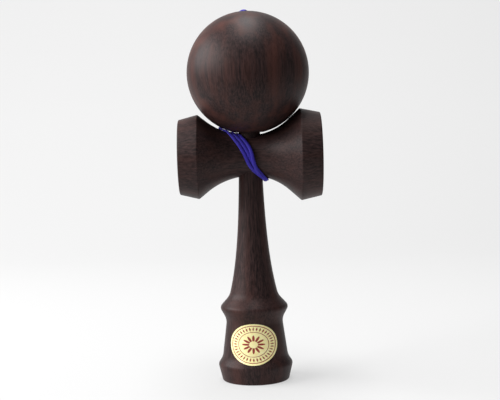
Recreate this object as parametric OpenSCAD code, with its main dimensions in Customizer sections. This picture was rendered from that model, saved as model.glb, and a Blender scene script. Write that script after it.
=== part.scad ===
// Wooden cup-and-ball toy: a turned handle with a spike, a cross piece with two cups
// pushed onto it, and a bored ball resting over the spike, tied by a string that is
// wound three times round the waist of the cross piece. Millimetres, +Z up, the foot
// of the handle on z = 0, the big cup at +X and the seal at the front (-Y).

/* [Handle] */
// Height from the foot to the tip of the spike
handle_h = 160; // [154:1:166]
// Diameter of the rim that it stands on
foot_d = 33.4; // [31:0.1:35]
// Diameter of the lower collar, where its two slopes meet
low_collar_d = 37.5; // [36:0.1:39]
// Height of the lower collar
low_collar_z = 8.4; // [7.8:0.1:9]
// Diameter of the grip above the lower collar
grip_low_d = 32.9; // [31.9:0.1:33.9]
// Diameter of the grip at its narrowest
grip_top_d = 27.9; // [26.4:0.1:29.4]
// Diameter of the upper collar, where its two slopes meet
top_collar_d = 34.7; // [33.4:0.1:36.4]
// Height of the upper collar
top_collar_z = 36.9; // [36:0.1:38]
// Diameter at the foot of the neck
flare_d = 24.5; // [23:0.1:26]
// Diameter of the neck where it enters the cross piece
neck_d = 11.95; // [11.2:0.05:12.4]
// Diameter of the spike where it leaves the cross piece
spike_d = 10.8; // [10:0.05:11]
// Diameter of the spike at its tip, before the tip is rounded
tip_d = 6.8; // [6.2:0.1:8]
// Diameter of the cup under the foot
base_cup_d = 28.8; // [26:0.1:30]
// Depth of the cup under the foot
base_cup_depth = 6; // [4.5:0.5:8]

/* [Cross piece] */
// Height of its axis above the foot
cross_z = 112.6; // [110:0.2:115]
// Length over the two rims
cross_len = 70.8; // [69:0.2:74]
// Diameter of the waist
waist_d = 20.3; // [19.7:0.1:21]
// Diameter of the ridge round the big cup
big_ridge_d = 46; // [44:0.2:46.4]
// Distance of that ridge from the middle
big_ridge_x = 25.2; // [24.8:0.1:26]
// Slope of the flare to the big cup
big_flare = 43; // [42:0.5:44]
// Outer diameter of the rim of the big cup
big_rim_d = 41.6; // [41:0.2:43]
// Diameter of the mouth of the big cup
big_cup_d = 38.6; // [36:0.2:39.2]
// Depth of the big cup
big_cup_depth = 9; // [7.5:0.5:11]
// Diameter of the ridge round the small cup
small_ridge_d = 42.1; // [40.7:0.2:43.1]
// Distance of that ridge from the middle
small_ridge_x = 25.8; // [25.2:0.1:26.6]
// Slope of the flare to the small cup
small_flare = 38.7; // [37.7:0.5:39.7]
// Outer diameter of the rim of the small cup
small_rim_d = 37.3; // [36.5:0.2:39]
// Diameter of the mouth of the small cup
small_cup_d = 34.4; // [32:0.2:34.9]
// Depth of the small cup
small_cup_depth = 8; // [6.5:0.5:10]

/* [Ball] */
// Diameter of the ball
ball_d = 60.8; // [58:0.2:62]
// Diameter of its bore
bore_d = 12.4; // [12:0.1:13.4]
// Bevel round the mouth of the bore
bore_bevel = 0.5; // [0.4:0.1:1]
// Room between the ball and the waist of the cross piece, which presses the string flat
ball_gap = 0.7; // [0.65:0.05:1.2]
// Diameter of the string hole in its crown
crown_hole_d = 3; // [2.6:0.1:3.6]

/* [String] */
// Thickness of the string
cord_d = 1.7; // [1.5:0.05:1.75]
// Room between two turns of the winding
cord_gap = 0.44; // [0.42:0.02:0.6]
// Diameter of the bead that stops the string in the ball
bead_d = 8; // [7:0.2:9]
// Height of that bead
bead_h = 6.6; // [6:0.2:7]
// Diameter of the string hole at the back of the cross piece
back_hole_d = 2; // [1.9:0.05:2.2]
// Diameter of the hole in the handle that holds the knot
knot_hole_d = 4.5; // [4.3:0.1:5]

/* [Seal] */
// Width of the seal, seen from the front
seal_w = 22.6; // [18:0.2:24]
// Height of the seal
seal_h = 20; // [16:0.2:20.2]
// Height of its middle above the foot
seal_z = 20.1; // [20:0.1:20.6]
// Turn of the seal round the handle, from the front
seal_turn = -3.3; // [-8:0.1:8]
// Thickness of the seal
seal_t = 0.15; // [0.1:0.05:0.3]

/* [Hidden] */
$fn = 96;
wood = [0.22, 0.15, 0.13];
cord_blue = [0.18, 0.14, 0.52];

// Room between a pushed-on or glued face and its seat
seat_gap = 0.03;
// Room between the string and what it lies on, and between it and the ball that presses on it
cord_lift = 0.14;
press_room = 0.1;
cord_r = cord_d / 2;

waist_r = waist_d / 2;
neck_z = cross_z - waist_r;
spike_z = cross_z + waist_r;

// The ball's height clears the waist and both flares, and comes closest to the flare of the big cup
flare_room = 0.15 * ball_gap;
function over_flare(x, r, a) = (ball_d / 2 + flare_room) / cos(a) + r - x * tan(a);
ball_z = cross_z + max(waist_r + ball_d / 2 + ball_gap,
                       over_flare(big_ridge_x, big_ridge_d / 2, big_flare),
                       over_flare(small_ridge_x, small_ridge_d / 2, small_flare));

// Knot, bead and the end of the bore stack up over the tip of the spike
knot_d = 3.8;
knot_h = 2.7;
knot_z = max(handle_h + 0.8, ball_z);
bead_z = knot_z + knot_h + 0.05;
bore_end = bead_z + bead_h + 0.3;
tail_z = ball_z + 0.9 * ball_d / 2;

// Outline corners rounded with arcs, as [across, along, radius] rows
function unit(v) = v / norm(v);
function corner(a, b, c, r) =
    r == 0 ? [b] :
    let (u = unit(a - b), v = unit(c - b), h = acos(u * v) / 2,
         o = b + unit(u + v) * r / sin(h),
         s = b + u * r / tan(h) - o, e = b + v * r / tan(h) - o,
         a0 = atan2(s.y, s.x),
         turn = (atan2(e.y, e.x) - a0 + 540) % 360 - 180,
         n = max(2, ceil(abs(turn) / 7)))
    [for (i = [0 : n]) o + r * [cos(a0 + turn * i / n), sin(a0 + turn * i / n)]];
function xy(p) = [p.x, p.y];
function rounded(rows) =
    [for (i = [0 : len(rows) - 1])
        each corner(xy(rows[max(i - 1, 0)]), xy(rows[i]),
                    xy(rows[min(i + 1, len(rows) - 1)]), rows[i][2])];

// The neck swells towards the collar as a decaying curve
flare_z = top_collar_z + 5.7;
swell = 2.2;
function neck_r(t) = neck_d / 2 + (flare_d - neck_d) / 2 * (exp(-swell * t) - exp(-swell)) / (1 - exp(-swell));

handle_line = rounded(concat(
    [[0, 0, 0],
     [foot_d / 2, 0, 0.8],
     [low_collar_d / 2, low_collar_z, 2.5],
     [grip_low_d / 2, low_collar_z + 3.4, 8],
     [grip_top_d / 2, top_collar_z - 6.2, 7.5],
     [top_collar_d / 2, top_collar_z, 2.3],
     [flare_d / 2, flare_z, 8]],
    [for (i = [1 : 18]) [neck_r(i / 18), flare_z + (neck_z - flare_z) * i / 18, 0]],
    [[spike_d / 2, spike_z, 0],
     [tip_d / 2, handle_h, 2.9],
     [0, handle_h, 0]]));

// Waist of the cross piece: an arc on each side that runs into a straight flare
function waist_arc(x, r, a) = (x * tan(a) - (r - waist_r)) / (1 / cos(a) - 1);
big_arc = waist_arc(big_ridge_x, big_ridge_d / 2, big_flare);
small_arc = waist_arc(small_ridge_x, small_ridge_d / 2, small_flare);
function side_arc(x) = x > 0 ? big_arc : small_arc;
function side_flare(x) = x > 0 ? big_flare : small_flare;
function slope_at(x) = sign(x) * min(asin(min(abs(x) / side_arc(x), 1)), side_flare(x));
function cross_r(x) =
    let (r = side_arc(x), a = abs(slope_at(x)))
    waist_r + r * (1 - cos(a)) + max(abs(x) - r * sin(side_flare(x)), 0) * tan(side_flare(x));

cross_line = rounded(concat(
    [[0, -cross_len / 2, 0],
     [small_rim_d / 2, -cross_len / 2, 0.7],
     [small_ridge_d / 2, -small_ridge_x, 0.8]],
    [for (a = [-small_flare : small_flare / 9 : -0.1]) [waist_r + small_arc * (1 - cos(a)), small_arc * sin(a), 0]],
    [for (i = [0 : 9]) let (a = big_flare * i / 9) [waist_r + big_arc * (1 - cos(a)), big_arc * sin(a), 0]],
    [[big_ridge_d / 2, big_ridge_x, 0.8],
     [big_rim_d / 2, cross_len / 2, 0.7],
     [0, cross_len / 2, 0]]));

function cap_r(d, h) = (d * d / 4 + h * h) / (2 * h);

// A point at height h over the waist, at x along it and angle a from its top to the front
function on_cross(x, a, h) =
    let (r = cross_r(x) + h * cos(slope_at(x)))
    [x - h * sin(slope_at(x)), -r * sin(a), cross_z + r * cos(a)];

// Half the height of the string, pressed flat where the ball leaves no more room
ball_at = [0, 0, ball_z];
function pressed(x, a) = min(cord_r, (norm(on_cross(x, a, 0) - ball_at) - ball_d / 2 - cord_lift - press_room) / 2);

// The winding leans from the left of the spike to the right of the neck, and its
// last turn climbs onto the two before it
pitch = cord_d + cord_gap;
top_step = 1.28 * pitch;
low_step = 1.3 * pitch;
wind_top = -(spike_d / 2 + 1.25 * cord_r + 0.15) - 2 * top_step;
wind_low = neck_d / 2 + cord_r + 0.45;
wind_from = 40;
wind_to = 930;
climb_from = 745;
function ramp(t) = let (u = min(max(t, 0), 1)) u * u * (3 - 2 * u);
// At the back the turns part, so that the string comes out between them
function parting(a) = pow(max(-sin(a), 0), 2) * (1.15 * (a - 450) / 180 - 0.4);
function wind_x(a) =
    let (top = wind_top + top_step * a / 360, low = wind_low + low_step * (a - 180) / 360)
    (top + low) / 2 - (low - top) / 2 * cos(a) + 1.7 * sin(2 * a) * max(sin(a), 0) + parting(a)
    - 1.75 * pitch * ramp((a - climb_from) / 85);
function wind_at(a) = on_cross(wind_x(a), a, pressed(wind_x(a), a) + cord_lift + pitch * ramp((a - climb_from) / 36));
wind_turns = [for (i = [0 : 59]) wind_from + (wind_to - wind_from) * i / 59];
wind_path = [for (a = wind_turns) wind_at(a)];
wind_up = [for (a = wind_turns) on_cross(wind_x(a), a, 1) - on_cross(wind_x(a), a, 0)];
wind_half = [for (a = wind_turns) pressed(wind_x(a), a)];
wind_gap = min([for (i = [0 : 59]) for (j = [i + 14 : 1 : 59]) norm(wind_path[i] - wind_path[j])]) - cord_d;
echo(winding_least_gap = wind_gap);

// From the knot out of the back of the cross piece and down to the winding,
// as [right, back, up] from the cross piece's axis
lead_rows = [[0, 2.1, 0], [0, 5, 0], [0, 8, 0], [0, 11, 0], [0.3, 12.6, -0.4], [1.4, 13.6, -1.8],
             [2.9, 13.8, -3.8], [4.3, 13, -6.4], [5.1, 10.8, -9.8]];
lead_path = smooth(concat([for (p = lead_rows) p + [0, 0, cross_z]], [wind_at(wind_to)]), 2);

// From the crown of the ball down its back, as [from the axis, height over the ball's top]
crown_rows = [[0, -ball_d / 20], [0, -2.4], [0, -1.7], [0.35, -0.55], [1.4, 0.28], [3.2, 0.52]];
crown_turn = 120;
// then as [degrees round the ball, degrees above its equator], drifting to the left, and pressed on the crown
run_rows = [[120, 78], [122, 66], [124, 54], [125, 42], [127, 30], [129, 18], [130, 6], [132, -6], [134, -18],
            [136, -30], [138, -42], [142, -52], [156, -60]];
function run_r(e) = ball_d / 2 + cord_lift + cord_r - 0.3 * ramp((e - 42) / 24);
// and over the waist to the front, as [along, angle]
over_rows = [[-14.9, -8], [-14.3, 0.5], [-12.7, 9], [-10.6, 20]];
run_path = smooth(concat(
    [for (p = crown_rows) [p.x * cos(crown_turn), p.x * sin(crown_turn), ball_z + ball_d / 2 + p.y]],
    [for (p = run_rows) ball_at + run_r(p.y) * [cos(p.y) * cos(p.x), cos(p.y) * sin(p.x), sin(p.y)]],
    [for (p = over_rows) on_cross(p.x, p.y, pressed(p.x, p.y) + cord_lift)],
    [wind_at(wind_from)]), 2);
function over_cross(p) = (norm([p.y, p.z - cross_z]) - cross_r(p.x)) * cos(slope_at(p.x));
run_up = [for (p = run_path) ball_at + [-7, 7, 0] - p];
function over_ball(p) = norm(p - ball_at) - ball_d / 2;
run_half = [for (p = run_path) norm([p.x, p.y]) < 2 ? cord_r
    : min(cord_r, over_ball(p) - 0.1, p.z > ball_z ? cord_r : over_cross(p) - 0.1)];
echo(run_least_half_height = min(run_half));

// A smooth line through the points of a route, k steps between each two
function through(a, b, c, d, t) =
    0.5 * (2 * b + (c - a) * t + (2 * a - 5 * b + 4 * c - d) * t * t + (3 * b - a - 3 * c + d) * t * t * t);
function smooth(p, k) = concat(
    [for (i = [0 : len(p) - 2]) for (j = [0 : k - 1])
        through(i == 0 ? 2 * p[0] - p[1] : p[i - 1], p[i], p[i + 1],
                i + 2 == len(p) ? 2 * p[i + 1] - p[i] : p[i + 2], j / k)],
    [p[len(p) - 1]]);

// A string along a path, closed at both ends: half[i] is half its height towards up[i]
function heading(p, i) = unit(p[min(i + 1, len(p) - 1)] - p[max(i - 1, 0)]);
function square_to(v, t) = unit(v - (v * t) * t);
module string(p, up, half, sides) {
    n = len(p);
    rings = [for (i = [0 : n - 1]) for (k = [0 : sides - 1])
        let (u = square_to(up[i], heading(p, i)), v = cross(heading(p, i), u), a = 360 * k / sides)
        p[i] + half[i] * cos(a) * u + cord_r * sin(a) * v];
    walls = [for (i = [0 : n - 2]) for (k = [0 : sides - 1])
        let (a = i * sides + k, b = i * sides + (k + 1) % sides)
        each [[a, a + sides, b], [b, a + sides, b + sides]]];
    ends = [for (k = [1 : sides - 2])
        each [[0, k, k + 1], [(n - 1) * sides, (n - 1) * sides + k + 1, (n - 1) * sides + k]]];
    polyhedron(rings, concat(walls, ends));
}

// Two laps of string drawn tight, one on the other
module knot() {
    lap = (knot_h - 0.1) / 4;
    reach = knot_d / 2 - lap;
    rotate_extrude() polygon(concat(
        [[0, 0]],
        [for (a = [-90 : 15 : 60]) [reach + lap * cos(a), lap + lap * sin(a)]],
        [for (a = [-60 : 15 : 90]) [reach + lap * cos(a), knot_h - lap + lap * sin(a)]],
        [[0, knot_h]]));
}

module handle() {
    color(wood) difference() {
        rotate_extrude() polygon(handle_line);
        translate([0, 0, base_cup_depth - cap_r(base_cup_d, base_cup_depth)])
            sphere(r = cap_r(base_cup_d, base_cup_depth));
        translate([0, 0, cross_z]) rotate([90, 0, 0]) cylinder(d = knot_hole_d, h = 2 * neck_d, center = true);
    }
}

module cross_cup() {
    color(wood) difference() {
        translate([0, 0, cross_z]) rotate([0, 90, 0]) rotate_extrude() polygon(cross_line);
        translate([cross_len / 2 - big_cup_depth + cap_r(big_cup_d, big_cup_depth), 0, cross_z])
            sphere(r = cap_r(big_cup_d, big_cup_depth));
        translate([-cross_len / 2 + small_cup_depth - cap_r(small_cup_d, small_cup_depth), 0, cross_z])
            sphere(r = cap_r(small_cup_d, small_cup_depth));
        translate([0, 0, neck_z]) cylinder(r1 = neck_d / 2 + seat_gap, r2 = spike_d / 2 + seat_gap, h = spike_z - neck_z);
        translate([0, 0, neck_z - 2]) cylinder(r = neck_d / 2 + seat_gap, h = 2.001);
        translate([0, 0, spike_z - 0.001]) cylinder(r = spike_d / 2 + seat_gap, h = 2);
        translate([0, 0, cross_z]) rotate([-90, 0, 0]) cylinder(d = back_hole_d, h = waist_d);
    }
}

module ball() {
    color(wood) difference() {
        translate([0, 0, ball_z]) sphere(d = ball_d);
        translate([0, 0, ball_z - ball_d]) cylinder(d = bore_d, h = bore_end - ball_z + ball_d);
        translate([0, 0, ball_z - sqrt(pow(ball_d / 2, 2) - pow(bore_d / 2 + bore_bevel, 2))])
            translate([0, 0, -2]) cylinder(r1 = bore_d / 2 + bore_bevel + 2, r2 = bore_d / 2 - 1, h = bore_bevel + 3);
        translate([0, 0, ball_z]) cylinder(d = crown_hole_d, h = ball_d);
        translate([0, 0, ball_z + ball_d / 2 - 2.2]) cylinder(r1 = crown_hole_d / 2, r2 = crown_hole_d / 2 + 1.9, h = 3.2);
    }
}

module stopper_bead() {
    color([0.72, 0.55, 0.35]) translate([0, 0, bead_z]) difference() {
        translate([0, 0, bead_h / 2]) intersection() {
            sphere(d = bead_d);
            cube([2 * bead_d, 2 * bead_d, bead_h], center = true);
        }
        translate([0, 0, -1]) cylinder(d = cord_d + 0.6, h = bead_h + 2);
    }
}

module bead_knot() {
    color(cord_blue) translate([0, 0, knot_z]) knot();
}

module handle_knot() {
    color(cord_blue) translate([0, 2.1 - knot_h, cross_z]) rotate([-90, 0, 0]) knot();
}

module string_tail() {
    color(cord_blue) translate([0, 0, knot_z + knot_h]) cylinder(d = cord_d, h = tail_z - knot_z - knot_h);
}

module string_run() {
    color(cord_blue) string(run_path, run_up, run_half, 8);
}

module string_winding() {
    color(cord_blue) string(wind_path, wind_up, wind_half, 6);
}

module string_lead() {
    color(cord_blue) string(lead_path, [for (p = lead_path) [1, 0, 0]], [for (p = lead_path) cord_r], 8);
}

module seal_label() {
    lo = seal_z - seal_h / 2 - 0.6;
    hi = seal_z + seal_h / 2 + 0.6;
    side = [for (p = handle_line) if (p.y > lo - 1 && p.y < hi + 1 && p.x > 5) p];
    color([0.88, 0.80, 0.48]) rotate([0, 0, seal_turn]) intersection() {
        rotate_extrude() polygon(concat(
            [for (p = side) p + [2 * seat_gap, 0]],
            [for (i = [len(side) - 1 : -1 : 0]) side[i] + [2 * seat_gap + seal_t, 0]]));
        translate([0, 0, seal_z]) rotate([90, 0, 0]) linear_extrude(foot_d)
            polygon([for (i = [0 : 47]) [seal_w / 2 * cos(7.5 * i), seal_h / 2 * sin(7.5 * i)]]);
    }
}

handle();
cross_cup();
ball();
stopper_bead();
bead_knot();
handle_knot();
string_tail();
string_run();
string_winding();
string_lead();
seal_label();
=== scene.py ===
# %% [markdown]
# # A wooden cup-and-ball toy
# The toy is a turned handle with a spike, a cross piece with two cups pushed onto it,
# and a bored ball that rests over the spike. A blue string is wound round the waist.
# The CAD model is loaded first and stays fixed: each new piece is modelled in metres,
# in the same frame, and each piece but the string rides on one of its bodies.

# %% Load the frame
import math

import bmesh
import bpy
from mathutils import Matrix, Vector


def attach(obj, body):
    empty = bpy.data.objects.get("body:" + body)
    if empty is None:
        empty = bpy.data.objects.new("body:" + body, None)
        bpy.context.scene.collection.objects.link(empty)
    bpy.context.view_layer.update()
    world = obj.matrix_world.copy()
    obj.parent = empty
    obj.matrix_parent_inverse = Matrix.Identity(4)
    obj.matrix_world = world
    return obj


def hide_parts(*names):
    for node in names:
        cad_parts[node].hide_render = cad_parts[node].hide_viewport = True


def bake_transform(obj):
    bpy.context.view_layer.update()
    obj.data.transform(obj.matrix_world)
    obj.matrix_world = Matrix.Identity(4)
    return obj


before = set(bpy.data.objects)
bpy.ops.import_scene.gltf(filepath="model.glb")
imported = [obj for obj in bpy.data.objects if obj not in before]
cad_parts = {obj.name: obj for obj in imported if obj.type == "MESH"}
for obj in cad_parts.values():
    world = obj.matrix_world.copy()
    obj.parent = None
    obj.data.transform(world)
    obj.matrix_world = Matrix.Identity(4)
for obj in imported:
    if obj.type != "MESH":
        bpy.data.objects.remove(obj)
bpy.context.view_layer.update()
MM = 0.001

# %% [markdown]
# ## The camera
# The photograph was taken from the front, a little over half a metre away and level
# with the cross piece, with the camera tipped slightly down and rolled a little. The
# focal length is given in pixels of a 500 pixel wide picture and turned into Blender's
# lens length on a 36 mm sensor.

# %% Camera
CAMERA_AT = Vector((-0.65, -550.0, 125.0)) * MM
PITCH, ROLL = math.radians(-3.6), math.radians(-1.6)
FOCAL_PIXELS, PICTURE_WIDTH = 1100.0, 500.0

camera_data = bpy.data.cameras.new("camera")
camera_data.sensor_width = 36.0
camera_data.lens = 36.0 * FOCAL_PIXELS / PICTURE_WIDTH
camera = bpy.data.objects.new("camera", camera_data)
bpy.context.scene.collection.objects.link(camera)
camera.matrix_world = (
    Matrix.Translation(CAMERA_AT)
    @ Matrix.Rotation(math.pi / 2 + PITCH, 4, "X")
    @ Matrix.Rotation(ROLL, 4, "Z")
)
bpy.context.scene.camera = camera
bpy.context.scene.view_settings.view_transform = "Standard"
print("lens:", round(camera_data.lens, 1), "mm")

# %% [markdown]
# ## The sizes that the pieces share
# These are the sizes of the CAD model, in millimetres. Only the big flare differs: it is a
# little flatter here, because that closes the slit beside the ball as the photograph shows,
# and the room over the flares is set so that the ball stays where the CAD model has it. The
# string's turns lie closer together, for the same reason. The cross piece is a lathe-turned
# shape round the X axis: an arc on each side of its waist runs into a straight flare, so
# its radius at any place along it follows from a few numbers. The string lies on that
# surface, and needs it before the wood is made.

# %% Shared sizes
HANDLE_H = 160.0
CROSS_Z, CROSS_LEN, WAIST_R = 112.6, 70.8, 10.15
NECK_D, SPIKE_D = 11.95, 10.8
BALL_R, BALL_GAP, FLARE_ROOM = 30.4, 0.7, 0.03
BORE_R, BORE_BEVEL, CROWN_HOLE_R = 6.2, 0.5, 1.5
CORD_D, CORD_LIFT, PRESS_ROOM = 1.7, 0.05, 0.1
CORD_R = CORD_D / 2
UP, RIGHT = Vector((0, 0, 1)), Vector((1, 0, 0))
BIG = {"ridge_x": 25.2, "ridge_r": 23.0, "flare": 42.2, "rim_r": 20.8, "cup_r": 19.3, "cup_depth": 9.0}
SMALL = {"ridge_x": 25.8, "ridge_r": 21.05, "flare": 38.7, "rim_r": 18.65, "cup_r": 17.2, "cup_depth": 8.0}


def sind(a):
    return math.sin(math.radians(a))


def cosd(a):
    return math.cos(math.radians(a))


def tand(a):
    return math.tan(math.radians(a))


for side in (BIG, SMALL):
    rise = side["ridge_x"] * tand(side["flare"]) - (side["ridge_r"] - WAIST_R)
    side["arc"] = rise / (1 / cosd(side["flare"]) - 1)


def over_flare(side):
    slack = (BALL_R + FLARE_ROOM) / cosd(side["flare"])
    return slack + side["ridge_r"] - side["ridge_x"] * tand(side["flare"])


BALL_Z = CROSS_Z + max(WAIST_R + BALL_R + BALL_GAP, over_flare(BIG), over_flare(SMALL))
BALL_AT = UP * BALL_Z
KNOT_H = 2.7
KNOT_Z = HANDLE_H + 0.8
BEAD_D, BEAD_H = 8.0, 6.6
BEAD_Z = KNOT_Z + KNOT_H + 0.05
BORE_END = BEAD_Z + BEAD_H + 0.3
print("ball centre:", round(BALL_Z, 2), "mm, waist arcs:", round(BIG["arc"], 2), round(SMALL["arc"], 2))


def side_at(x):
    return BIG if x > 0 else SMALL


def slope_at(x):
    side = side_at(x)
    angle = math.degrees(math.asin(min(abs(x) / side["arc"], 1)))
    return math.copysign(min(angle, side["flare"]), x)


def cross_radius(x):
    side = side_at(x)
    past_arc = max(abs(x) - side["arc"] * sind(side["flare"]), 0)
    return WAIST_R + side["arc"] * (1 - cosd(slope_at(x))) + past_arc * tand(side["flare"])


def off_cross(x, angle):
    slope = slope_at(x)
    return Vector((-sind(slope), -cosd(slope) * sind(angle), cosd(slope) * cosd(angle)))


def on_cross(x, angle, height):
    r = cross_radius(x)
    return Vector((x, -r * sind(angle), CROSS_Z + r * cosd(angle))) + off_cross(x, angle) * height


# %% [markdown]
# ## The string's route
# The string is one cord. From the knot under the bead it runs up through the ball's
# crown, down the back of the ball, under the ball to the front, nearly three times round
# the waist, and into the hole at the back of the cross piece. The free stretches are listed
# points, and the turns come from a formula: they lean from the left of the spike
# to the right of the neck, and each turn moves along the waist. The last turn climbs onto
# the other two. Where the ball lies close, the cord is pressed flat.

# %% Route of the string
DRAWN_FLAT, DRAWN_WIDE = 0.85, 1.38
TOP_STEP, LOW_STEP = 2.5, 1.5
WIND_TOP = -(SPIKE_D / 2 + 1.25 * CORD_R + 0.15) - 2 * TOP_STEP
WIND_LOW = NECK_D / 2 + CORD_R
WIND_FROM, WIND_TO = 40, 930
CLIMB_FROM, CLIMB, CLIMB_SHIFT = 780, 0.6, 2.2
CLIMB_OVER, SHIFT_OVER = 36, 85
FIRST_BOW, BOW = 2.6, 1.7
BACK_SPREAD, BACK_SHIFT = 1.9, 0.4
CROWN_TURN = 120


def pressed(x, a):
    room = (on_cross(x, a, 0) - BALL_AT).length - BALL_R - CORD_LIFT - PRESS_ROOM
    return min(DRAWN_FLAT * CORD_R, room / 2)


def eased(t):
    t = min(max(t, 0), 1)
    return t * t * (3 - 2 * t)


def wind_at(a):
    top = WIND_TOP + TOP_STEP * a / 360
    low = WIND_LOW + LOW_STEP * (a - 180) / 360
    bow = FIRST_BOW if 90 < a < 180 else BOW
    x = (top + low) / 2 - (low - top) / 2 * cosd(a) + bow * sind(2 * a) * max(sind(a), 0)
    x += max(-sind(a), 0) ** 2 * (BACK_SPREAD * (a - 450) / 180 - BACK_SHIFT)
    x -= CLIMB_SHIFT * eased((a - CLIMB_FROM) / SHIFT_OVER)
    climbed = CLIMB * eased((a - CLIMB_FROM) / CLIMB_OVER)
    return on_cross(x, a, pressed(x, a) + CORD_LIFT + climbed)


def smooth(points, steps):
    made = []
    for i in range(len(points) - 1):
        b, c = points[i], points[i + 1]
        a = points[i - 1] if i else 2 * b - c
        d = points[i + 2] if i + 2 < len(points) else 2 * c - b
        for j in range(steps):
            t = j / steps
            made.append(0.5 * (2 * b + (c - a) * t + (2 * a - 5 * b + 4 * c - d) * t**2
                               + (3 * b - a - 3 * c + d) * t**3))
    return made + [points[-1]]


def run_at(turn, out, up):
    return Vector((out * cosd(turn), out * sind(turn), BALL_Z + up))


def run_r(rise):
    return BALL_R + CORD_LIFT + CORD_R - 0.3 * eased((rise - 42) / 24)


CROWN_ROWS = [(0, -0.1 * BALL_R), (0, -2.4), (0, -1.7), (0.35, -0.55), (1.4, 0.28), (3.2, 0.52)]
RUN_ROWS = [(120, 78), (122, 66), (124, 54), (125, 42), (127, 30), (129, 18), (130, 6), (132, -6), (134, -18),
            (136, -30), (138, -42), (142, -52), (156, -60)]
OVER_ROWS = [(-14.9, -8), (-14.3, 0.5), (-12.7, 9), (-10.6, 20)]
LEAD_ROWS = [(0, 2.1, 0), (0, 5, 0), (0, 8, 0), (0, 11, 0), (0.3, 12.6, -0.4), (1.4, 13.6, -1.8),
             (2.9, 13.8, -3.8), (4.3, 13, -6.4), (5.1, 10.8, -9.8)]

tail = [UP * z for z in (KNOT_Z + KNOT_H, KNOT_Z + KNOT_H + 6, BALL_Z + 0.9 * BALL_R - 6)]
crown = [run_at(CROWN_TURN, out, BALL_R + up) for out, up in CROWN_ROWS]
down_ball = [run_at(turn, run_r(e) * cosd(e), run_r(e) * sind(e)) for turn, e in RUN_ROWS]
over_waist = [on_cross(x, a, pressed(x, a) + CORD_LIFT) for x, a in OVER_ROWS]
turns = [wind_at(WIND_FROM + (WIND_TO - WIND_FROM) * i / 240) for i in range(241)]
lead = [Vector(row) + UP * CROSS_Z for row in LEAD_ROWS]
run_part = smooth(tail + crown + down_ball + over_waist + [turns[0]], 24)
lead_part = smooth([turns[-1]] + lead[::-1], 24)
route = run_part[:-1] + turns + lead_part[1:]


def evenly(points, gap):
    made, left = [points[0]], gap
    for a, b in zip(points, points[1:]):
        length = (b - a).length
        while length >= left:
            a = a + (b - a) * (left / length)
            made.append(a)
            length, left = (b - a).length, gap
        left -= length
    return made


RING_GAP = 0.3
LEAD_RING = len(evenly(run_part[:-1] + turns, RING_GAP))
route = evenly(route, RING_GAP)

# %% [markdown]
# ## The string's braid
# The cord is braided from eight strands, four each way. A curve with a round bevel makes
# the tube, and each ring of it is then moved in or out: where a strand of one family
# passes over one of the other, it stands proud as a small diamond. Real relief catches
# the light from every side, which a bump alone doesn't.

# %% String mesh
STRANDS, LAY = 4, 5.0
ROUND_SIDES = 24


def braid_height(along, turn):
    a, b = STRANDS * (turn - along / LAY), STRANDS * (turn + along / LAY)
    over = (math.floor(a) + math.floor(b)) % 2 == 0
    across, lengthways = (a % 1, b % 1) if over else (b % 1, a % 1)
    return math.sin(math.pi * across) ** 0.6 * (0.45 + 0.55 * math.sin(math.pi * lengthways) ** 0.7)


def tube_mesh(name, points, radius, sides):
    curve = bpy.data.curves.new(name, "CURVE")
    curve.dimensions = "3D"
    curve.twist_mode = "MINIMUM"
    curve.bevel_depth = radius * MM
    curve.bevel_resolution = (sides - 4) // 2
    curve.use_fill_caps = True
    spline = curve.splines.new("POLY")
    spline.points.add(len(points) - 1)
    for spot, p in zip(spline.points, points):
        spot.co = (*(p * MM), 1)
    shape = bpy.data.objects.new(name, curve)
    bpy.context.scene.collection.objects.link(shape)
    mesh = bpy.data.meshes.new_from_object(shape.evaluated_get(bpy.context.evaluated_depsgraph_get()))
    bpy.data.objects.remove(shape)
    mesh.name = name
    return mesh


string_mesh = tube_mesh("string_cord", route, CORD_R, ROUND_SIDES)
print("tube:", len(string_mesh.vertices), "points for", len(route), "rings")

# %% [markdown]
# The tube's points come ring by ring, so a point's number gives its place along the cord
# and round it, and both are stored for the fibre finish. The turns are drawn tight, so on
# the cross piece each ring is flatter towards the wood and wider across. A ring against the
# ball is flattened towards the ball, and most where the ball presses on it. The stretch
# inside the wood stays round.

# %% Braid relief and squeezed stretch of the string
BRAID_DEPTH = 0.16
NEAR, IN_HOLE = 2.5, 1.2
BALL_HAIR, WOOD_HAIR = 0.05, 0.02
LEAST_HALF, MOST_WIDER = 0.45, 0.55


def squeeze_at(p):
    to_ball = (p - BALL_AT).length - BALL_R
    angle = math.degrees(math.atan2(-p.y, p.z - CROSS_Z))
    to_cross = (math.hypot(p.y, p.z - CROSS_Z) - cross_radius(p.x)) * cosd(slope_at(p.x))
    if to_cross < NEAR:
        room = min(DRAWN_FLAT * CORD_R, to_ball - BALL_HAIR, to_cross - WOOD_HAIR)
        return off_cross(p.x, angle), room
    if math.hypot(p.x, p.y) < IN_HOLE or to_ball > NEAR:
        return UP, CORD_R
    return (BALL_AT - p).normalized(), min(CORD_R, max(to_ball - BALL_HAIR, LEAST_HALF))


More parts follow.
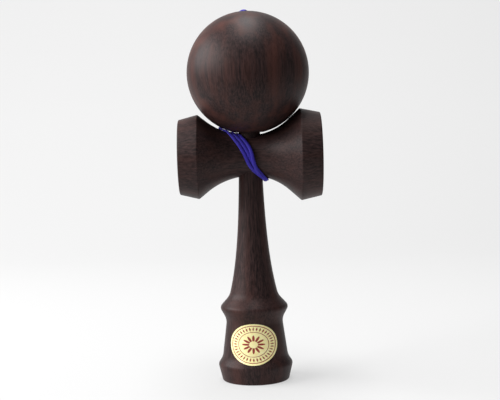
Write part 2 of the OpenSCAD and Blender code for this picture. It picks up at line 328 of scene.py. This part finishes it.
squeezes = [squeeze_at(p) for p in route[:LEAD_RING]]
squeezes += [(UP, CORD_R)] * (len(route) - LEAD_RING)
cord_place = string_mesh.attributes.new("cord_place", "FLOAT_VECTOR", "POINT")
for i, point in enumerate(string_mesh.vertices):
    ring = min(i // ROUND_SIDES, len(route) - 1)
    along, turn = ring * RING_GAP, (i % ROUND_SIDES) / ROUND_SIDES
    cord_place.data[i].vector = (along * MM, turn, 0)
    if i < ROUND_SIDES * len(route):
        centre, (towards, half) = route[ring], squeezes[ring]
        out = (point.co / MM - centre).normalized()
        out *= CORD_R - BRAID_DEPTH + 1.25 * BRAID_DEPTH * braid_height(along, turn)
        flat = towards * out.dot(towards)
        wide = 1 + min((1 - half / CORD_R) * (DRAWN_WIDE - 1) / (1 - DRAWN_FLAT), MOST_WIDER)
        point.co = (centre + flat * (half / CORD_R) + (out - flat) * wide) * MM
print("flattest ring:", round(2 * min(half for _, half in squeezes), 2), "mm high")
for face in string_mesh.polygons:
    face.use_smooth = True
string_cord = bpy.data.objects.new("string_cord", string_mesh)
bpy.context.scene.collection.objects.link(string_cord)

# %% [markdown]
# ## Turned outlines
# Everything wooden came off a lathe. An outline is a short list of corners with a radius
# each, and every corner is rounded with an arc, as a turner's gouge would leave it. The
# outline is then spun round the piece's axis.

# %% Rounded outlines


def rounded(rows, step=3.0):
    made = []
    for i, (x, y, r) in enumerate(rows):
        b = Vector((x, y))
        if r == 0:
            made.append(b)
            continue
        u = (Vector(rows[i - 1][:2]) - b).normalized()
        v = (Vector(rows[i + 1][:2]) - b).normalized()
        half = u.angle(v) / 2
        centre = b + (u + v).normalized() * (r / math.sin(half))
        start = b + u * (r / math.tan(half)) - centre
        end = b + v * (r / math.tan(half)) - centre
        turn = -start.angle_signed(end)
        steps = max(2, math.ceil(abs(math.degrees(turn)) / step))
        made += [centre + Matrix.Rotation(turn * k / steps, 2) @ start for k in range(steps + 1)]
    return made


def arc(cx, cy, r, start, end, step=3.0):
    steps = max(2, math.ceil(abs(end - start) / step))
    angles = [start + (end - start) * k / steps for k in range(steps + 1)]
    return [Vector((cx + r * cosd(a), cy + r * sind(a))) for a in angles]


def cap_radius(r, depth):
    return (r * r + depth * depth) / (2 * depth)


def spun(name, outline, centre, axis, across, steps=144):
    bm = bmesh.new()
    points = [bm.verts.new((centre + axis * p.y + across * p.x) * MM) for p in outline]
    edges = [bm.edges.new(pair) for pair in zip(points, points[1:])]
    bmesh.ops.spin(bm, geom=points + edges, cent=centre * MM, axis=axis, angle=2 * math.pi,
                   steps=steps, use_merge=True)
    bmesh.ops.remove_doubles(bm, verts=bm.verts, dist=1e-7)
    bmesh.ops.dissolve_degenerate(bm, dist=1e-7, edges=bm.edges)
    bmesh.ops.recalc_face_normals(bm, faces=bm.faces)
    mesh = bpy.data.meshes.new(name)
    bm.to_mesh(mesh)
    bm.free()
    piece = bpy.data.objects.new(name, mesh)
    bpy.context.scene.collection.objects.link(piece)
    return piece


def drilled(piece, start, end, r_start, r_end, segments=64):
    bm = bmesh.new()
    along = (end - start) * MM
    bmesh.ops.create_cone(bm, cap_ends=True, segments=segments, radius1=r_start * MM,
                          radius2=r_end * MM, depth=along.length)
    turn = along.to_track_quat("Z", "Y").to_matrix().to_4x4()
    bmesh.ops.transform(bm, matrix=Matrix.Translation((start + end) * MM / 2) @ turn, verts=bm.verts)
    drill_mesh = bpy.data.meshes.new("drill")
    bm.to_mesh(drill_mesh)
    bm.free()
    drill = bpy.data.objects.new("drill", drill_mesh)
    bpy.context.scene.collection.objects.link(drill)
    cut = piece.modifiers.new("drill", "BOOLEAN")
    cut.operation, cut.solver, cut.object = "DIFFERENCE", "EXACT", drill
    done = bpy.data.meshes.new_from_object(piece.evaluated_get(bpy.context.evaluated_depsgraph_get()))
    piece.modifiers.clear()
    piece.data = done
    bpy.data.objects.remove(drill)


def smoothed(piece, sharp_over):
    for face in piece.data.polygons:
        face.use_smooth = True
    piece.data.set_sharp_from_angle(angle=math.radians(sharp_over))
    print(piece.name, "has", len(piece.data.polygons), "faces")

# %% [markdown]
# ## The handle
# From the floor up: the rim it stands on with a shallow cup under it, a collar, the grip,
# a second collar, and a neck that thins in one long sweep towards the cross piece. Above
# it the spike tapers to a rounded tip. The sweep is a decaying curve.

# %% Handle
SWELL, FLARE_D, FLARE_Z = 2.2, 24.5, 42.6
NECK_Z, SPIKE_Z = CROSS_Z - WAIST_R, CROSS_Z + WAIST_R


def neck_radius(t):
    fade = (math.exp(-SWELL * t) - math.exp(-SWELL)) / (1 - math.exp(-SWELL))
    return NECK_D / 2 + (FLARE_D - NECK_D) / 2 * fade


handle_rows = [
    (14.4, 0, 0.25), (16.7, 0, 0.8), (18.75, 8.4, 2.5), (16.45, 11.8, 8), (13.95, 30.7, 7.5),
    (17.35, 36.9, 2.3), (12.25, FLARE_Z, 8),
]
handle_rows += [(neck_radius(i / 30), FLARE_Z + (NECK_Z - FLARE_Z) * i / 30, 0) for i in range(2, 31)]
handle_rows += [(SPIKE_D / 2, SPIKE_Z, 0), (3.4, HANDLE_H, 2.9), (0, HANDLE_H, 0)]
base_cup_r = cap_radius(14.4, 6.0)
base_cup_end = math.degrees(math.asin((base_cup_r - 6.0) / base_cup_r)) + 1.2
base_cup = arc(0, 6.0 - base_cup_r, base_cup_r, 90, base_cup_end)
handle_outline = base_cup + rounded([(base_cup[-1].x, base_cup[-1].y, 0)] + handle_rows)[1:]
handle_wood = spun("handle_wood", handle_outline, Vector((0, 0, 0)), UP, RIGHT)
drilled(handle_wood, Vector((0, -8, CROSS_Z)), Vector((0, 8, CROSS_Z)), 2.25, 2.25, 40)
smoothed(handle_wood, 35)

# %% [markdown]
# ## The cross piece
# One outline from the small cup to the big one, spun round the X axis. The two cups are
# parts of spheres. The tapered hole for the handle and the small hole for the string are
# drilled after turning, as they are on the real one.

# %% Cross piece


def cup_rows(side):
    r = cap_radius(side["cup_r"], side["cup_depth"])
    reach = math.degrees(math.asin(side["cup_r"] / r))
    return [(r * sind(reach * k / 24), CROSS_LEN / 2 - side["cup_depth"] + r * (1 - cosd(reach * k / 24)), 0)
            for k in range(24)]


def end_rows(side):
    ridge = [(side["ridge_r"], side["ridge_x"], 0.8), (side["rim_r"], CROSS_LEN / 2, 0.7)]
    arc_steps = [side["flare"] * k / 16 for k in range(1, 17)]
    waist = [(WAIST_R + side["arc"] * (1 - cosd(a)), side["arc"] * sind(a), 0) for a in arc_steps]
    return waist + ridge + [(side["cup_r"], CROSS_LEN / 2, 0.35)] + cup_rows(side)[::-1]


right_half = rounded([(WAIST_R, 0, 0)] + end_rows(BIG))
left_half = rounded([(WAIST_R, 0, 0)] + end_rows(SMALL))
cross_outline = [Vector((p.x, -p.y)) for p in left_half[::-1]] + right_half[1:]
cross_wood = spun("cross_wood", cross_outline, UP * CROSS_Z, RIGHT, UP, 160)
SEAT_GAP = 0.03
taper = (NECK_D - SPIKE_D) / 2 / (SPIKE_Z - NECK_Z)
drilled(cross_wood, UP * (NECK_Z - 4), UP * (SPIKE_Z + 4),
        NECK_D / 2 + SEAT_GAP + 4 * taper, SPIKE_D / 2 + SEAT_GAP - 4 * taper, 96)
drilled(cross_wood, Vector((0, 0, CROSS_Z)), Vector((0, 14, CROSS_Z)), 1.0, 1.0, 32)
smoothed(cross_wood, 35)

# %% [markdown]
# ## The ball
# A sphere with a deep bore for the spike, bevelled at its mouth, and a small hole through
# its crown for the string. Both are in the outline, so one spin makes the whole ball.

# %% Ball
mouth = math.degrees(math.acos((BORE_R + BORE_BEVEL) / BALL_R))
crown_r = CROWN_HOLE_R + 1.3
top_edge = math.degrees(math.acos(crown_r / BALL_R))
bore_top = BORE_END - BALL_Z
bevel_z = -BALL_R * sind(mouth) + BORE_BEVEL
ball_outline = rounded([
    (CROWN_HOLE_R, bore_top, 0), (BORE_R, bore_top, 0.8), (BORE_R, bevel_z, 0.3),
    (BALL_R * cosd(mouth), -BALL_R * sind(mouth), 0.3),
    (BALL_R * cosd(mouth - 3), -BALL_R * sind(mouth - 3), 0),
])
ball_outline += arc(0, 0, BALL_R, -(mouth - 6), top_edge - 1.5, 2.5)
ball_outline += rounded([
    (BALL_R * cosd(top_edge - 1.5), BALL_R * sind(top_edge - 1.5), 0),
    (crown_r, BALL_R * sind(top_edge), 0.4),
    (CROWN_HOLE_R, BALL_R - 2.2, 0.5), (CROWN_HOLE_R, bore_top, 0),
])[1:]
ball_wood = spun("ball_wood", ball_outline, BALL_AT, UP, RIGHT, 160)
smoothed(ball_wood, 35)

# %% [markdown]
# ## The bead and the knots
# The bead inside the ball stops the string, and lets the ball turn on it. The knot under
# it and the one in the handle are drawn as real overhand knots: a three-lobed loop whose
# ends pass through itself, pulled tight.

# %% Bead and knots
bead_r = BEAD_D / 2
bead_hole = CORD_R + 0.3
bead_flat = math.degrees(math.asin(BEAD_H / 2 / bead_r))
bead_outline = [Vector((bead_hole, -BEAD_H / 2))] + arc(0, 0, bead_r, -bead_flat, bead_flat, 6)
bead_outline += [Vector((bead_hole, BEAD_H / 2)), Vector((bead_hole, -BEAD_H / 2))]
bead_wood = spun("bead_wood", bead_outline, UP * (BEAD_Z + BEAD_H / 2), UP, RIGHT, 48)
smoothed(bead_wood, 35)


def knot_piece(name, place):
    lap = 0.52
    loop = []
    for k in range(73):
        t = math.radians(5 * k)
        x, y = math.sin(t) + 2 * math.sin(2 * t), math.cos(t) - 2 * math.cos(2 * t)
        loop.append(Vector((x * 0.44, y * 0.44, -math.sin(3 * t) * 0.75)))
    mesh = tube_mesh(name, loop, lap, 12)
    mesh.transform(place)
    for face in mesh.polygons:
        face.use_smooth = True
    piece = bpy.data.objects.new(name, mesh)
    bpy.context.scene.collection.objects.link(piece)
    return piece


knot_middle = UP * (KNOT_Z + KNOT_H / 2) * MM
knot_in_ball = knot_piece("knot_in_ball", Matrix.Translation(knot_middle))
handle_knot_middle = Vector((0, 2.1 - KNOT_H / 2, CROSS_Z)) * MM
handle_knot_place = Matrix.Translation(handle_knot_middle) @ Matrix.Rotation(math.pi / 2, 4, "X")
knot_in_handle = knot_piece("knot_in_handle", handle_knot_place)
print("knots at", [round(v / MM, 1) for v in knot_middle], [round(v / MM, 1) for v in handle_knot_middle])

# %% [markdown]
# ## The seal
# An oval foil sticker lies on the front of the grip. A flat disc of rings is bent onto the
# grip: each point keeps its distance round and up, and takes the radius that the handle
# has at its height. It stands off the wood by a hair, with a real edge.

# %% Seal
SEAL_W, SEAL_H, SEAL_Z, SEAL_TURN, SEAL_T = 25.6, 20.0, 20.1, -3.3, 0.15
grip_line = [p for p in handle_outline if p.x > 10 and p.y > 1]


def handle_radius(z):
    for a, b in zip(grip_line, grip_line[1:]):
        if a.y <= z <= b.y:
            return a.x + (b.x - a.x) * (z - a.y) / (b.y - a.y)
    return grip_line[-1].x


bm = bmesh.new()
bmesh.ops.create_grid(bm, x_segments=48, y_segments=48, size=1.0)
for point in bm.verts:
    x, y = point.co.x, point.co.y
    point.co.x, point.co.y = x * math.sqrt(1 - y * y / 2), y * math.sqrt(1 - x * x / 2)
uv_layer = bm.loops.layers.uv.new("seal_face")
for face in bm.faces:
    for loop in face.loops:
        loop[uv_layer].uv = (loop.vert.co.x, loop.vert.co.y)
for point in bm.verts:
    x, z = point.co.x * SEAL_W / 2, SEAL_Z + point.co.y * SEAL_H / 2
    r = handle_radius(z) + 0.05
    round_by = x / r + math.radians(SEAL_TURN)
    point.co = Vector((r * math.sin(round_by), -r * math.cos(round_by), z)) * MM
bmesh.ops.recalc_face_normals(bm, faces=bm.faces)
if sum(face.normal.y for face in bm.faces) > 0:
    bmesh.ops.reverse_faces(bm, faces=bm.faces)
bmesh.ops.solidify(bm, geom=bm.faces, thickness=-SEAL_T * MM)
bmesh.ops.recalc_face_normals(bm, faces=bm.faces)
seal_mesh = bpy.data.meshes.new("seal_foil")
bm.to_mesh(seal_mesh)
bm.free()
seal_foil = bpy.data.objects.new("seal_foil", seal_mesh)
bpy.context.scene.collection.objects.link(seal_foil)
smoothed(seal_foil, 40)

# %% [markdown]
# ## Riding on the bodies
# The handle, cross piece and seal ride on the handle. The bead and its knot move up with
# the ball, and the ball also turns on the bead. The string joins the two, but here it rides
# on no body: its mesh is fixed in the frame.

# %% Bodies, replaced nodes and the cord
for piece, body, nodes, slot in [
    (handle_wood, "handle", ["handle"], "dark_wood"),
    (cross_wood, "handle", ["cross_cup"], "dark_wood"),
    (seal_foil, "handle", ["seal_label"], "seal"),
    (knot_in_handle, "handle", ["handle_knot"], "string"),
    (ball_wood, "ball", ["ball"], "dark_wood"),
    (bead_wood, "bead", ["stopper_bead"], "bead_wood"),
    (knot_in_ball, "bead", ["bead_knot"], "string"),
]:
    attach(piece, body)
    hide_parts(*nodes)

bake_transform(string_cord)
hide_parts("string_tail", "string_run", "string_winding", "string_lead")

# %% [markdown]
# ## Node helpers
# A finish is a small network. These helpers add a node, set its plain inputs and link the
# rest, so that each material below reads like a recipe.

# %% Node helpers


def add(tree, kind, links=None, **values):
    node = tree.nodes.new("ShaderNode" + kind)
    for name, value in values.items():
        setattr(node, name, value)
    for socket, source in (links or {}).items():
        target = node.inputs[socket]
        if isinstance(source, bpy.types.NodeSocket):
            tree.links.new(source, target)
        else:
            target.default_value = source
    return node


def ramp(tree, source, stops):
    node = add(tree, "ValToRGB", {"Fac": source})
    elements = node.color_ramp.elements
    while len(elements) < len(stops):
        elements.new(0.5)
    for element, (place, colour) in zip(elements, stops):
        element.position = place
        element.color = colour if len(colour) == 4 else (*colour, 1)
    return node.outputs["Color"]


def grey(value):
    return (value, value, value, 1)


def math_node(tree, operation, a, b=0.0, c=0.0, clamp=False):
    return add(tree, "Math", {0: a, 1: b, 2: c}, operation=operation, use_clamp=clamp).outputs[0]


def mixed(tree, factor, a, b, blend="MIX"):
    node = add(tree, "Mix", data_type="RGBA", blend_type=blend)
    for socket, source in ((node.inputs[0], factor), (node.inputs[6], a), (node.inputs[7], b)):
        if isinstance(source, bpy.types.NodeSocket):
            tree.links.new(source, socket)
        else:
            socket.default_value = source
    return node.outputs[2]


def new_material(name):
    material = bpy.data.materials.new(name)
    material.use_nodes = True
    tree = material.node_tree
    tree.nodes.clear()
    out = add(tree, "OutputMaterial")
    shader = add(tree, "BsdfPrincipled")
    tree.links.new(shader.outputs[0], out.inputs[0])
    return material, tree, shader


# %% [markdown]
# ## The wood
# Dark hardwood, almost black, with straight grain, warm brown streaks and fine open
# pores. The grain is a solid pattern, as in a real billet: rings round a distant centre,
# stretched along the grain. On the sides of a turned piece it shows as long lines, and in
# the cups, where the lathe cut across it, as end grain. One group makes it for all three
# pieces, and each piece places it differently, because each is cut from its own billet.

# %% Wood grain group
wood_group = bpy.data.node_groups.new("billet_grain", "ShaderNodeTree")
for name, kind, direction in [
    ("Place", "NodeSocketVector", "INPUT"), ("Ring gap", "NodeSocketFloat", "INPUT"),
    ("Warmth", "NodeSocketFloat", "INPUT"),
    ("Color", "NodeSocketColor", "OUTPUT"), ("Roughness", "NodeSocketFloat", "OUTPUT"),
    ("Height", "NodeSocketFloat", "OUTPUT"),
]:
    wood_group.interface.new_socket(name=name, in_out=direction, socket_type=kind)
g = wood_group
g_in, g_out = g.nodes.new("NodeGroupInput"), g.nodes.new("NodeGroupOutput")


def stretched(scale):
    return add(g, "VectorMath", {0: g_in.outputs["Place"], 1: scale}, operation="MULTIPLY").outputs[0]


waver = add(g, "TexNoise", {"Vector": stretched((0.05, 0.05, 0.012)), "Scale": 1.0, "Detail": 2.0})
swing = add(g, "VectorMath", {0: waver.outputs["Color"], 1: (9.0, 9.0, 0.0)}, operation="MULTIPLY").outputs[0]
bent = add(g, "VectorMath", {0: stretched((1, 1, 0.0)), 1: swing}, operation="ADD").outputs[0]
from_centre = add(g, "VectorMath", {0: bent}, operation="LENGTH").outputs["Value"]
ring_count = math_node(g, "DIVIDE", from_centre, g_in.outputs["Ring gap"])
ring = math_node(g, "FRACT", ring_count)
late_wood = ramp(g, ring, [(0.0, grey(0.0)), (0.55, grey(0.15)), (0.88, grey(1.0)), (1.0, grey(0.0))])
fibre = add(g, "TexNoise", {"Vector": stretched((1.5, 1.5, 0.11)), "Scale": 1.0, "Detail": 5.0,
                            "Roughness": 0.6})
streak = add(g, "TexNoise", {"Vector": stretched((0.16, 0.16, 0.006)), "Scale": 1.0, "Detail": 3.0})
pore = add(g, "TexNoise", {"Vector": stretched((4.5, 4.5, 0.16)), "Scale": 1.0, "Detail": 1.0})
pore_mask = ramp(g, pore.outputs[0], [(0.60, grey(0.0)), (0.70, grey(1.0))])
warm = ramp(g, streak.outputs[0], [(0.42, grey(0.0)), (0.68, grey(1.0))])
warm_amount = math_node(g, "MULTIPLY", warm, g_in.outputs["Warmth"])
fine = ramp(g, fibre.outputs[0], [(0.36, grey(0.0)), (0.66, grey(1.0))])
ground = mixed(g, fine, (0.0135, 0.0085, 0.0085, 1), (0.050, 0.0275, 0.0265, 1))
streaked = mixed(g, warm_amount, ground, (0.084, 0.032, 0.025, 1))
ringed = mixed(g, math_node(g, "MULTIPLY", late_wood, 0.18), streaked, (0.010, 0.0058, 0.0058, 1))
pored = mixed(g, math_node(g, "MULTIPLY", pore_mask, 0.5), ringed, (0.006, 0.004, 0.004, 1))
g.links.new(pored, g_out.inputs["Color"])
rough = math_node(g, "MULTIPLY_ADD", fine, 0.08, 0.42)
g.links.new(math_node(g, "MULTIPLY_ADD", pore_mask, 0.12, rough), g_out.inputs["Roughness"])
height = math_node(g, "SUBTRACT", math_node(g, "MULTIPLY", fine, 0.3), pore_mask)
g.links.new(height, g_out.inputs["Height"])
print("grain group:", len(g.nodes), "nodes")

# %% [markdown]
# Each wooden piece gets the group with its own place in the billet. The Mapping node turns
# the grain along the cross piece for that one, and works in millimetres. The wood has a
# dull, oiled finish.

# %% Wood materials


def wood_finish(name, turn, offset, ring_gap, warmth):
    material, tree, shader = new_material(name)
    place = add(tree, "TexCoord").outputs["Object"]
    billet = add(tree, "Mapping", {"Vector": place, "Location": offset, "Rotation": turn,
                                   "Scale": (1 / MM, 1 / MM, 1 / MM)})
    grain = add(tree, "Group", node_tree=wood_group)
    tree.links.new(billet.outputs[0], grain.inputs["Place"])
    grain.inputs["Ring gap"].default_value = ring_gap
    grain.inputs["Warmth"].default_value = warmth
    tree.links.new(grain.outputs["Color"], shader.inputs["Base Color"])
    tree.links.new(grain.outputs["Roughness"], shader.inputs["Roughness"])
    bump = add(tree, "Bump", {"Height": grain.outputs["Height"], "Strength": 0.12, "Distance": 0.00006})
    tree.links.new(bump.outputs[0], shader.inputs["Normal"])
    shader.inputs["Specular IOR Level"].default_value = 0.14
    print("wood:", name)
    return material


quarter = math.pi / 2
handle_wood.data.materials.append(wood_finish("handle_billet", (0, 0, 0), (62, 35, 0), 3.4, 0.42))
ball_wood.data.materials.append(wood_finish("ball_billet", (0, 0, 0), (52, 30, 1200), 3.8, 0.7))
cross_wood.data.materials.append(wood_finish("cross_billet", (0, quarter, 0), (70, -44, 30), 3.2, 0.30))

bead_material, bead_tree, bead_shader = new_material("bead_pale_wood")
bead_place = add(bead_tree, "TexCoord").outputs["Object"]
bead_map = add(bead_tree, "Mapping", {"Vector": bead_place, "Scale": (900, 900, 120)})
bead_noise = add(bead_tree, "TexNoise", {"Vector": bead_map.outputs[0], "Scale": 1.0, "Detail": 4.0})
BEAD_STOPS = [(0.3, (0.36, 0.21, 0.10)), (0.75, (0.55, 0.36, 0.19))]
bead_colour = ramp(bead_tree, bead_noise.outputs[0], BEAD_STOPS)
bead_tree.links.new(bead_colour, bead_shader.inputs["Base Color"])
bead_shader.inputs["Roughness"].default_value = 0.55
bead_wood.data.materials.append(bead_material)

# %% [markdown]
# ## The string's finish
# Violet-blue thread, lighter and darker at random in fine fibres along it. The pattern
# reads the place on the cord that was stored with
# the mesh, so it follows every turn of the winding.

# %% String material
THREAD_STOPS = [(0.25, (0.013, 0.006, 0.21)), (0.75, (0.029, 0.013, 0.41))]
string_material, tree, shader = new_material("blue_thread")
cord_place = add(tree, "Attribute", attribute_name="cord_place").outputs["Vector"]
fibres = add(tree, "Mapping", {"Vector": cord_place, "Scale": (2600, 40, 1)})
fibre_noise = add(tree, "TexNoise", {"Vector": fibres.outputs[0], "Scale": 1.0, "Detail": 3.0})
tree.links.new(ramp(tree, fibre_noise.outputs[0], THREAD_STOPS), shader.inputs["Base Color"])
thread_bump = add(tree, "Bump", {"Height": fibre_noise.outputs[0], "Strength": 0.3, "Distance": 0.00008})
tree.links.new(thread_bump.outputs[0], shader.inputs["Normal"])
shader.inputs["Roughness"].default_value = 0.75
shader.inputs["Sheen Weight"].default_value = 0.12
shader.inputs["Sheen Roughness"].default_value = 0.4
shader.inputs["Sheen Tint"].default_value = (0.45, 0.42, 0.9, 1)
string_cord.data.materials.append(string_material)

knot_material, tree, shader = new_material("blue_thread_knot")
knot_place = add(tree, "TexCoord").outputs["Object"]
knot_map = add(tree, "Mapping", {"Vector": knot_place, "Scale": (2200, 2200, 2200)})
knot_noise = add(tree, "TexNoise", {"Vector": knot_map.outputs[0], "Scale": 1.0, "Detail": 3.0})
tree.links.new(ramp(tree, knot_noise.outputs[0], THREAD_STOPS), shader.inputs["Base Color"])
shader.inputs["Roughness"].default_value = 0.75
for knot in (knot_in_ball, knot_in_handle):
    knot.data.materials.append(knot_material)
print("string materials done")

# %% [markdown]
# ## The seal's finish
# Pale gold foil with a plain geometric print in dark red: two rings, a band of small
# leaves between them, and a rosette in the middle. It is worked out from the distance and
# the angle on the sticker's own UV map, so it bends with the sticker.

# %% Seal material
RED = (0.30, 0.035, 0.026, 1)
seal_material, tree, shader = new_material("gold_foil_print")
seal_uv = add(tree, "UVMap", uv_map="seal_face").outputs[0]
apart = add(tree, "SeparateXYZ", {0: seal_uv})
u, v = apart.outputs[0], apart.outputs[1]
radius = add(tree, "VectorMath", {0: seal_uv}, operation="LENGTH").outputs["Value"]
angle = math_node(tree, "ARCTAN2", v, u)


def petals(count, inner, reach, sharpness):
    wave = math_node(tree, "COSINE", math_node(tree, "MULTIPLY", angle, count / 2))
    lobes = math_node(tree, "ABSOLUTE", wave)
    edge = math_node(tree, "MULTIPLY_ADD", lobes, reach, inner)
    return math_node(tree, "MULTIPLY", math_node(tree, "SUBTRACT", edge, radius), sharpness, clamp=True)


def off_circle(circle):
    return math_node(tree, "ABSOLUTE", math_node(tree, "SUBTRACT", radius, circle))


outer_ring = math_node(tree, "LESS_THAN", off_circle(0.90), 0.018)
inner_ring = math_node(tree, "LESS_THAN", off_circle(0.60), 0.014)
leaf_side = math_node(tree, "SINE", math_node(tree, "MULTIPLY", angle, 18))
leaf_room = math_node(tree, "SUBTRACT", 0.11, off_circle(0.75))
leaf_width = math_node(tree, "MULTIPLY", leaf_room, 7.0)
leaves = math_node(tree, "GREATER_THAN", leaf_width, math_node(tree, "ABSOLUTE", leaf_side))
rosette = petals(12, 0.10, 0.36, 60)
heart = math_node(tree, "MULTIPLY", math_node(tree, "SUBTRACT", radius, 0.16), 60, clamp=True)
rosette = math_node(tree, "MULTIPLY", rosette, heart)
print_mask = math_node(tree, "MAXIMUM", math_node(tree, "MAXIMUM", outer_ring, inner_ring),
                       math_node(tree, "MAXIMUM", leaves, rosette))
foil_place = add(tree, "TexCoord").outputs["Object"]
foil_noise = add(tree, "TexNoise", {"Vector": foil_place, "Scale": 900.0, "Detail": 4.0})
foil = ramp(tree, foil_noise.outputs[0], [(0.3, (0.98, 0.83, 0.37)), (0.7, (1.0, 0.95, 0.54))])
tree.links.new(mixed(tree, print_mask, foil, RED), shader.inputs["Base Color"])
foil_rough = math_node(tree, "MULTIPLY_ADD", foil_noise.outputs[0], 0.2, 0.28)
tree.links.new(foil_rough, shader.inputs["Roughness"])
shader.inputs["Metallic"].default_value = 0.1
seal_foil.data.materials.append(seal_material)
print("seal print:", len(tree.nodes), "nodes")

# %% [markdown]
# ## Floor and light
# The photograph is a plain studio picture: a white sweep, a large soft light on the left
# and a narrower one overhead. The sweep is one sheet that curves up behind the toy. Its
# emission is painted light: it glows by itself, a little more at the back, which brightens
# the floor and softens the shadows on it. The room round it gives little light, and looks pale where the
# sweep ends.

# %% Floor
bm = bmesh.new()
HALF_WIDTH = 0.8
sweep = [Vector((-HALF_WIDTH, -0.3, 0)), Vector((-HALF_WIDTH, 0.55, 0))]
sweep += [Vector((-HALF_WIDTH, 0.55 + 0.5 * sind(a), 0.5 - 0.5 * cosd(a))) for a in range(10, 91, 10)]
sweep.append(Vector((-HALF_WIDTH, 1.05, 1.4)))
line = [bm.verts.new(p) for p in sweep]
edges = [bm.edges.new(pair) for pair in zip(line, line[1:])]
made = bmesh.ops.extrude_edge_only(bm, edges=edges)
far_side = [e for e in made["geom"] if isinstance(e, bmesh.types.BMVert)]
bmesh.ops.translate(bm, vec=(2 * HALF_WIDTH, 0, 0), verts=far_side)
bmesh.ops.recalc_face_normals(bm, faces=bm.faces)
floor_mesh = bpy.data.meshes.new("studio_sweep")
bm.to_mesh(floor_mesh)
bm.free()
studio_sweep = bpy.data.objects.new("studio_sweep", floor_mesh)
bpy.context.scene.collection.objects.link(studio_sweep)
for face in floor_mesh.polygons:
    face.use_smooth = True
floor_material, tree, shader = new_material("white_sweep")
shader.inputs["Base Color"].default_value = (0.24, 0.24, 0.24, 1)
shader.inputs["Roughness"].default_value = 0.9
shader.inputs["Specular IOR Level"].default_value = 0.0
shader.inputs["Emission Color"].default_value = (1, 1, 1, 1)
sweep_place = add(tree, "TexCoord").outputs["Object"]
depth = add(tree, "SeparateXYZ", {0: sweep_place}).outputs[1]
# Painted light: the sweep glows by itself, from 0.54 at the front to 0.635 at the back.
painted_glow = add(tree, "MapRange", {"Value": depth, "From Min": 0.0, "From Max": 0.9,
                              "To Min": 0.54, "To Max": 0.635})
tree.links.new(painted_glow.outputs[0], shader.inputs["Emission Strength"])
studio_sweep.data.materials.append(floor_material)

# %% Lights


def soft_light(name, place, target, width, height, power):
    data = bpy.data.lights.new(name, "AREA")
    data.shape, data.size, data.size_y, data.energy = "RECTANGLE", width, height, power
    light = bpy.data.objects.new(name, data)
    light.location = place
    light.rotation_euler = (Vector(target) - Vector(place)).to_track_quat("-Z", "Y").to_euler()
    bpy.context.scene.collection.objects.link(light)
    return light


soft_light("left_window", (-0.75, -0.10, 0.50), (0, 0, 0.15), 1.0, 0.5, 14.0)
soft_light("top_light", (0.0, 0.0, 0.85), (0, 0, 0.12), 0.25, 0.7, 6.4)
world = bpy.data.worlds.new("studio")
world.use_nodes = True
background = world.node_tree.nodes["Background"]
background.inputs["Color"].default_value = (1, 1, 1, 1)
seen = add(world.node_tree, "LightPath").outputs["Is Camera Ray"]
WORLD_LIGHT, WORLD_SEEN = 0.12, 0.86
strength = math_node(world.node_tree, "MULTIPLY_ADD", seen, WORLD_SEEN - WORLD_LIGHT, WORLD_LIGHT)
world.node_tree.links.new(strength, background.inputs["Strength"])
bpy.context.scene.world = world
